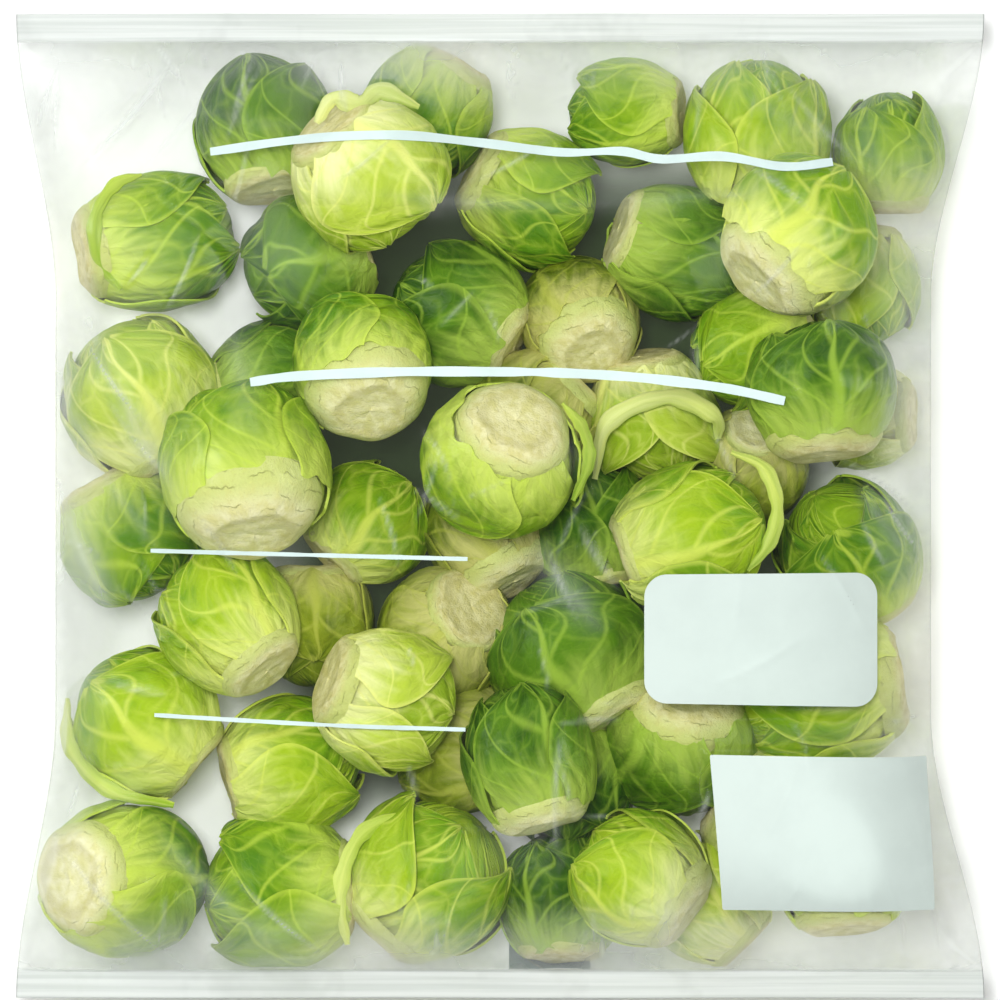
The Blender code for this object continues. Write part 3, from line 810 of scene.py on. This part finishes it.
def crease_field(across, up, creases):
    """Ridges along creases that bow a little, given as two ends, a height and a width."""
    ridge = np.zeros(across.shape)
    for x0, y0, x1, y1, height, width in creases:
        run = np.array((x1 - x0, y1 - y0))
        length = np.hypot(*run)
        along = ((across - x0) * run[0] + (up - y0) * run[1]) / length**2
        bow = 0.04 * length * np.sin(math.pi * np.clip(along, 0, 1))
        off = ((across - x0) * run[1] - (up - y0) * run[0]) / length - bow
        fade = np.clip(4 * np.clip(along, 0, 1) * (1 - np.clip(along, 0, 1)), 0, 1)
        ridge = np.maximum(ridge, height * fade * np.exp(-np.abs(off) / width))
    return ridge


# Creases seen in the film, as (across, up, across, up, height, width) in millimetres
SEEN_CREASES = (
    (12, -37, 11, -68, 0.6, 0.8),
    (-52, -66, -30, -86, 0.6, 0.8),
    (-79, 34, -63, 12, 0.6, 0.9),
    (-76, 24, -58, 2, 0.5, 0.8),
    (70, 4, 80, -10, 0.7, 0.8),
    (66, 0, 74, -14, 0.6, 0.8),
    (-80, 62, -60, 86, 0.8, 1.0),
    (-70, 60, -52, 82, 0.5, 0.9),
    (-84, -60, -60, -86, 0.6, 0.9),
    (50, 84, 70, 60, 0.5, 0.9),
    (8, -4, 16, -24, 0.5, 1.1),
    (13, 0, 24, -18, 0.5, 1.2),
    (18, 6, 9, -14, 0.4, 1.0),
)

# Soft milky streaks where the film is folded on itself, partly painted highlights that stand for the film's
# soft reflections of the lights: their two ends, how milky, and how wide
MILK_AND_HIGHLIGHT_STREAKS = tuple(
    (x0 * MM, y0 * MM, x1 * MM, y1 * MM, milky, width * MM)
    for x0, y0, x1, y1, milky, width in (
        (-80, 44, -60, 2, 0.55, 1.8),
        (-84, 8, -70, -24, 0.35, 1.8),
        (-86, 30, -62, -10, 0.25, 1.2),
        (-70, 78, -30, 70, 0.25, 2.0),
        (40, 80, 84, 60, 0.25, 2.0),
        # A painted highlight: the film's soft reflection band of the lights, painted as milkiness
        (-40, 60, 50, 59, 0.20, 1.4),
        (-80, 70, -58, 88, 0.25, 2.5),
        (62, 88, 82, 40, 0.18, 2.5),
        (66, 4, 82, -14, 0.40, 1.0),
        (-66, -58, -34, -88, 0.22, 1.6),
        (34, -62, 30, -90, 0.25, 3.0),
        (6, -6, 20, -24, 0.35, 2.0),
        (-50, 40, -44, 10, 0.14, 2.5),
        (76, -40, 86, -84, 0.20, 2.5),
    )
)

# Small creases drawn at random: how many, and their lengths, heights and widths in millimetres
RANDOM_CREASES = 150
CREASE_LENGTHS = (5, 26)
CREASE_HEIGHTS = (0.15, 0.6)
CREASE_WIDTHS = (0.5, 1.0)


def all_creases():
    """The seen creases and the small drawn ones, every third of which runs in from a weld."""
    draw = np.random.default_rng(SEED)
    creases = [[value * MM for value in crease] for crease in SEEN_CREASES]
    for i in range(RANDOM_CREASES):
        x = draw.uniform(-84, 84)
        y = draw.uniform(-84, 84)
        length = draw.uniform(*CREASE_LENGTHS)
        turn = draw.normal(0.0, 0.45) + (math.pi / 2 if abs(y) > 62 else draw.uniform(0, math.pi))
        if i % 3 == 0:
            y = math.copysign(86, y)
            x = draw.uniform(-88, 88)
            turn = math.pi / 2 * math.copysign(1, -y) + draw.normal(0.0, 0.25)
        crease = [x, y, x + length * math.cos(turn), y + length * math.sin(turn)]
        crease += [draw.uniform(*CREASE_HEIGHTS), draw.uniform(*CREASE_WIDTHS)]
        creases.append([value * MM for value in crease])
    return creases


class Film:
    """The film's front and back as height fields over the same grid."""

    def __init__(self, heads):
        even = np.linspace(-1, 1, FILM_COLUMNS)
        self.share = 0.55 * even - 0.45 * np.cos((even + 1) * math.pi / 2)
        seal = np.linspace(INNER_LENGTH, BAG_LENGTH / 2, SEAL_ROWS)
        body = np.linspace(-1, 1, BODY_ROWS)
        body = INNER_LENGTH * (0.7 * body + 0.3 * np.sin(body * math.pi / 2))
        self.rows = np.concatenate((-seal[:0:-1], body, seal[1:]))
        self.up = np.repeat(self.rows[:, None], FILM_COLUMNS, axis=1)
        self.across = middle_line(self.up) + half_width(self.up) * self.share[None, :]
        self.from_side = half_width(self.up) * (1 - np.abs(self.share)[None, :])
        self.from_weld = INNER_LENGTH - np.abs(self.up)
        wave = np.sin(SEAL_WAVES * math.pi * self.across / SEAL_HALF_WIDTH)
        self.edge = SEAL_HEIGHT + SEAL_WAVE * wave
        self.weld = ease(0.4 * MM, -0.2 * MM, self.from_weld)
        self.body = slice(SEAL_ROWS - 1, SEAL_ROWS - 1 + BODY_ROWS)
        creases = all_creases()
        self.make_front(heads, creases)
        self.make_back(heads, creases)

    def make_front(self, heads, creases):
        body = self.body
        floor = np.zeros(self.up[body].shape)
        for head in heads:
            floor = np.maximum(floor, head.surface(self.across[body], self.up[body], 0.0, 1, 0.0))
            self.rest_on(floor, head.points)
        from_side, from_weld = self.from_side[body], self.from_weld[body]
        floor = np.minimum(floor, self.edge[body] + WALL_SLOPE * np.minimum(from_weld, from_side))
        floor = np.minimum(floor, FILM_TOP)
        height = tight_over(floor, self.edge[body])
        for corners, _ in PANELS.values():
            height = self.stiffen(floor, height, np.array(corners) * MM)
        ridge = crease_field(self.across[body], self.up[body], creases)
        ridge = ridge * ease(0.0, 3 * MM, from_side) * ease(0.0, 2 * MM, from_weld)
        self.front = self.edge + self.crimp() + WELD_HALF
        raised = height + ridge
        over = np.maximum(raised - TOP_STARTS, 0.0)
        self.front[body] = np.minimum(raised, TOP_STARTS) + TOP_ROOM * (1 - np.exp(-over / TOP_ROOM))
        self.crease = np.zeros(self.front.shape)
        self.crease[body] = ease(0.15 * MM, 0.7 * MM, ridge)
        # The milky streaks, partly painted highlights of the lights, and the film milkier near its ends and
        # its sides
        self.milk_and_highlight = crease_field(self.across, self.up, MILK_AND_HIGHLIGHT_STREAKS)
        near_end = END_VEIL * ease(END_VEIL_REACH, 0.0, self.from_weld + SEAL_BAND)
        near_side = SIDE_VEIL * ease(SIDE_VEIL_REACH, 0.0, self.from_side)
        self.milk_and_highlight = np.clip(self.milk_and_highlight + np.maximum(near_end, near_side), LEAST_VEIL, 1.0)

    def rest_on(self, floor, points):
        """Raises the floor to a head's points, each at its nearest place of the grid and those beside it."""
        row, column = (place.round().astype(int) for place in self.cell(points[:, 0], points[:, 1]))
        for down, right in ((0, 0), (0, 1), (1, 0), (0, -1), (-1, 0)):
            i = np.clip(row - self.body.start + down, 1, BODY_ROWS - 2)
            j = np.clip(column + right, 1, FILM_COLUMNS - 2)
            np.maximum.at(floor, (i, j), points[:, 2] + LEAF_GAP)

    def stiffen(self, floor, height, corners):
        """The film made smooth under a panel, whose ink stiffens it, and raised clear of the heads."""
        across, up = self.across[self.body], self.up[self.body]
        low, high = corners.min(axis=0), corners.max(axis=0)
        away = np.maximum.reduce((low[0] - across, across - high[0], low[1] - up, up - high[1], 0 * up))
        under = ease(PANEL_FADE, 0.0, away)
        held = under * ease(0.0, PANEL_FADE, self.from_side[self.body])
        smooth = relax(height.copy(), 0 * floor, PANEL_SMOOTHING)
        lift = np.max((floor - smooth) * (held > 0.99))
        return height + (smooth - height) * under + lift * held

    def crimp(self):
        slow = np.sin(self.across / (11 * MM) + self.up / (2 * MM))
        uneven = 0.6 + 0.4 * np.sin(self.across / (5 * MM)) * slow
        return CRIMP_DEPTH * uneven * np.sin(2 * math.pi * self.up / CRIMP_PITCH) * self.weld

    def make_back(self, heads, creases):
        """The back rises to the welds and the folds in a soft slope, and is pressed down by the heads."""
        near = np.clip(np.minimum(self.from_side, self.from_weld) / BACK_SLOPE, 0.0, 1.0)
        self.back = self.edge * (1.0 - near) ** BACK_ROUND
        for head in heads:
            self.back = np.minimum(self.back, head.surface(self.across, self.up, FILM_GAP, -1, 1.0))
        ridge = crease_field(self.across, self.up, creases[::2])
        self.back = np.maximum(self.back, 0.0) + 0.5 * ridge * ease(0.8, 1.0, near) + 0.03 * MM
        welded = self.weld > 0.5
        self.back[welded] = (self.edge + self.crimp() - WELD_HALF)[welded]
        for fold in (0, -1):
            self.back[:, fold] = self.front[:, fold]

    def cell(self, across, up):
        """Given places as the grid's row and column, with fractions."""
        share = (across - middle_line(up)) / half_width(up)
        row = np.interp(up, self.rows, np.arange(len(self.rows)))
        return row, np.interp(share, self.share, np.arange(FILM_COLUMNS))

    def read(self, field, across, up):
        """A field of the film at given places."""
        row, column = self.cell(across, up)
        row = np.minimum(row, len(self.rows) - 1.001)
        column = np.minimum(column, FILM_COLUMNS - 1.001)
        i, j = row.astype(int), column.astype(int)
        s, t = row - i, column - j
        low = field[i, j] * (1 - t) + field[i, j + 1] * t
        high = field[i + 1, j] * (1 - t) + field[i + 1, j + 1] * t
        return low * (1 - s) + high * s


def punch(points, faces):
    """The faces without those in the breathing holes, and each hole's rim moved onto its circle."""
    for hole in BREATHING_HOLES:
        off = points[:, :2] - np.array(hole) * MM
        far = np.hypot(*off.T)
        inside = far < HOLE_RADIUS
        faces = faces[~inside[faces].all(axis=1)]
        points[inside, :2] += off[inside] * (HOLE_RADIUS / np.maximum(far[inside], 1e-6) - 1)[:, None]
    return faces


def press_heads(heads, film):
    """Presses each head's points to below the film, with their order kept."""
    for head in heads:
        depth = film.read(film.front, head.points[:, 0], head.points[:, 1]) - head.points[:, 2]
        head.points[:, 2] += depth - 0.5 * (depth + np.hypot(depth, 2 * LEAF_GAP))
        head.item.data.vertices.foreach_set("co", head.points.astype(np.float32).ravel())
        head.item.data.update()


def make_film(film):
    rows, columns = film.front.shape
    front = np.stack([film.across, film.up, film.front], -1).reshape(-1, 3)
    back = np.stack([film.across, film.up, film.back], -1).reshape(-1, 3)
    front_faces = punch(front, grid_faces(rows, columns))
    back_faces = grid_faces(rows, columns, start=rows * columns)[:, ::-1]
    number = np.arange(rows * columns).reshape(rows, columns)
    lookup = np.arange(2 * rows * columns)
    for fold in (0, -1):
        lookup[rows * columns + number[:, fold]] = number[:, fold]
    faces = lookup[np.concatenate([front_faces, back_faces])]
    for end, way in ((0, 1), (rows - 1, -1)):
        low = lookup[rows * columns + number[end]]
        rim = np.stack([low[:-1], low[1:], number[end, 1:], number[end, :-1]], -1)
        faces = np.concatenate([faces, rim[1:-1, ::way]])
    values = np.stack([film.weld, film.crease, film.milk_and_highlight], -1).reshape(-1, 3)
    values = np.concatenate([values, values * BACK_SHARES])
    # The back's painted shade, darkest in its middle: it shades the gaps between the heads, and partly stands
    # for the back's faint print
    beside = np.abs(film.across - PAINTED_SHADE_MIDDLE[0]) - PAINTED_SHADE_HALF[0]
    beyond = np.abs(film.up - PAINTED_SHADE_MIDDLE[1]) - PAINTED_SHADE_HALF[1]
    inner = ease(0.0, -PAINTED_SHADE_FADE, np.maximum(beside, beyond)).ravel()
    painted_shades = np.concatenate([0 * inner, inner])[:, None] * (1.0, 0.0, 0.0)
    used, faces = np.unique(faces, return_inverse=True)
    faces = faces.reshape(-1, 4)
    points = np.concatenate([front, back])[used]
    values = {"film_place": values[used], "film_painted_shade": painted_shades[used]}
    item = mesh_object("film_bag", points, faces, (film_material(),), values=values)
    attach(item, "root")
    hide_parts("bag_film")


# Print


# Pale rules across the front: points (across, up) and the rule's thickness, in millimetres
RULES = {
    "rule_upper": (
        ((-54, 66), (-37.6, 67.9), (-18.8, 68.6), (-3.8, 67.5), (11.3, 65.8), (22.5, 66), (30, 64.5))
        + ((41.4, 64.9), (52.6, 62.8), (61.6, 63.7)),
        1.7,
    ),
    "rule_lower": (
        ((-46.2, 22.9), (-37.6, 24), (-18.8, 24.8), (0, 24.8), (11.3, 24.6), (26.3, 23.7), (41.4, 21.8))
        + ((52.6, 19.4),),
        1.8,
    ),
    "rule_thin_upper": (((-64.9, -8.3), (-6, -9.8)), 0.8),
    "rule_thin_lower": (((-64.3, -38.9), (-32, -40.6), (-6.4, -41.4)), 0.8),
}

# Bare pale panels: corners (across, up) and the radius of the corners, in millimetres
PANELS = {
    "panel_rounded": (((26.7, -12.7), (70.3, -12.4), (70.3, -37.4), (26.7, -36.5)), 4.2),
    "panel_square": (((38.7, -45.9), (79.9, -46.8), (80.8, -75), (41.2, -74.8)), 0.4),
}
BACK_BLOCK = ((1.7, -81), (17, -81), (17, -87), (1.7, -87))


def add_ink(name, film, grid, material, back=False):
    """A sheet of ink that follows the film."""
    across, up = grid[..., 0], grid[..., 1]
    height = film.read(film.back if back else film.front, across, up) + INK_LIFT
    points = np.stack([across, up, height], -1).reshape(-1, 3)
    item = mesh_object(name, points, grid_faces(*across.shape), (material,))
    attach(item, "root")


def add_rule(name, film, points, thickness, material):
    line = smooth_path(points, 320) * MM
    run = np.gradient(line, axis=0)
    side = unit(np.stack([-run[:, 1], run[:, 0]], -1))
    place = np.linspace(0, 1, len(line))
    worn = 1 + 0.10 * np.sin(47 * place) * np.sin(13 * place + 1) - 0.12 * np.cos(2 * math.pi * place) ** 8
    offsets = np.linspace(-0.5, 0.5, 5)[:, None] * thickness * MM * worn[None, :]
    grid = line[None] + offsets[..., None] * side[None]
    add_ink(name, film, grid, material)


def add_panel(name, film, corners, radius, material, back=False, count=90):
    """A panel between four corners, with each row of it drawn in where it passes a round corner."""
    corners = np.asarray(corners, float) * MM
    width = np.linalg.norm(corners[1] - corners[0])
    height = np.linalg.norm(corners[3] - corners[0])
    across = np.linspace(0, 1, count)[None, :]
    down = 0.5 - 0.5 * np.cos(np.linspace(0, math.pi, count))[:, None]
    near = np.minimum(down, 1 - down) * height
    past = np.clip(1 - near / (radius * MM), 0, 1)
    drawn_in = radius * MM * (1 - np.sqrt(1 - past**2)) / width
    right = drawn_in + (1 - 2 * drawn_in) * across
    low = corners[0] + (corners[1] - corners[0]) * right[..., None]
    high = corners[3] + (corners[2] - corners[3]) * right[..., None]
    grid = low + (high - low) * down[..., None]
    add_ink(name, film, grid[::-1], material, back)


def make_print(film):
    pale, panel, dark = (ink_material(name, *ink) for name, ink in INKS.items())
    for name, (points, thickness) in RULES.items():
        add_rule(name, film, points, thickness, pale)
    for name, (corners, radius) in PANELS.items():
        add_panel(name, film, corners, radius, panel)
    add_panel("back_block", film, BACK_BLOCK, 0.3, dark, back=True, count=30)


# Studio

WORLD_LIGHT = (0.20, 0.04)  # near the horizon, and overhead where the flat film would mirror it
WORLD_LEVELS = (0.2, 0.95)  # the heights between which it changes, from 0 level to 1 overhead

# Soft boxes: place, size and power in watts, and whether the film mirrors them
LIGHTS = {
    "overhead": ((-0.12, 0.12, 1.25), (0.30, 0.30), 11.0, False),
    "left": ((-0.80, 0.30, 0.70), (0.35, 0.9), 3.9, True),
    "right": ((0.85, 0.10, 0.75), (0.35, 0.9), 2.7, True),
    "upper": ((0.05, 0.90, 0.65), (0.9, 0.3), 1.5, True),
    "lower": ((0.05, -0.90, 0.65), (0.9, 0.3), 1.9, True),
}


def make_camera():
    data = bpy.data.cameras.new("camera")
    data.sensor_width = SENSOR
    data.lens = SENSOR * CAMERA_HEIGHT / VIEW_WIDTH
    data.clip_end = 20.0
    camera = put_in_scene("camera", data)
    camera.location = (0.0, VIEW_UP, CAMERA_HEIGHT + SEAL_HEIGHT)
    bpy.context.scene.camera = camera


def add_light(name, place, size, power, mirrored, target=(0.0, 0.0, 0.02)):
    data = bpy.data.lights.new(name, "AREA")
    data.shape = "RECTANGLE"
    data.size, data.size_y = size
    data.energy = power
    light = put_in_scene(name, data)
    light.location = place
    light.rotation_euler = (Vector(target) - Vector(place)).to_track_quat("-Z", "Y").to_euler()
    light.visible_glossy = mirrored


def make_studio():
    world = bpy.data.worlds.new("studio")
    bpy.context.scene.world = world
    world.use_nodes = True
    tree = world.node_tree
    sky = tree.nodes["Background"]
    sky.inputs["Color"].default_value = (1.0, 1.0, 0.98, 1.0)
    toward = tree.nodes.new("ShaderNodeTexCoord")
    parts = tree.nodes.new("ShaderNodeSeparateXYZ")
    level = tree.nodes.new("ShaderNodeMapRange")
    tree.links.new(toward.outputs["Generated"], parts.inputs[0])
    tree.links.new(parts.outputs["Z"], level.inputs["Value"])
    for key, value in zip(("From Min", "From Max", "To Min", "To Max"), (*WORLD_LEVELS, *WORLD_LIGHT)):
        level.inputs[key].default_value = value
    tree.links.new(level.outputs["Result"], sky.inputs["Strength"])
    for name, settings in LIGHTS.items():
        add_light(name, *settings)
    corners = ((-1, -1), (1, -1), (1, 1), (-1, 1))
    points = np.array([(FLOOR_SIZE * x, FLOOR_SIZE * y, -FLOOR_DROP) for x, y in corners])
    floor = mesh_object("studio_floor", points, np.array([[0, 1, 2, 3]]), (floor_material(),))
    bpy.context.scene.view_settings.view_transform = "Standard"


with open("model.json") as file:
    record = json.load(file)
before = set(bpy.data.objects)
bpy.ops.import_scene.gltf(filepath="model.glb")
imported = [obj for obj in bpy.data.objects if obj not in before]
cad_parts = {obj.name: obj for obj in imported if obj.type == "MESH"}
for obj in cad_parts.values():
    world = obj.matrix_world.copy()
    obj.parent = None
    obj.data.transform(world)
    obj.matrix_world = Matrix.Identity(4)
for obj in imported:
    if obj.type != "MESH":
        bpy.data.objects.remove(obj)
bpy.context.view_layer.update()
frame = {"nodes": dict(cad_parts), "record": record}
make_camera()
make_studio()
heads = make_heads()
film = Film(heads)
press_heads(heads, film)
make_film(film)
make_print(film)
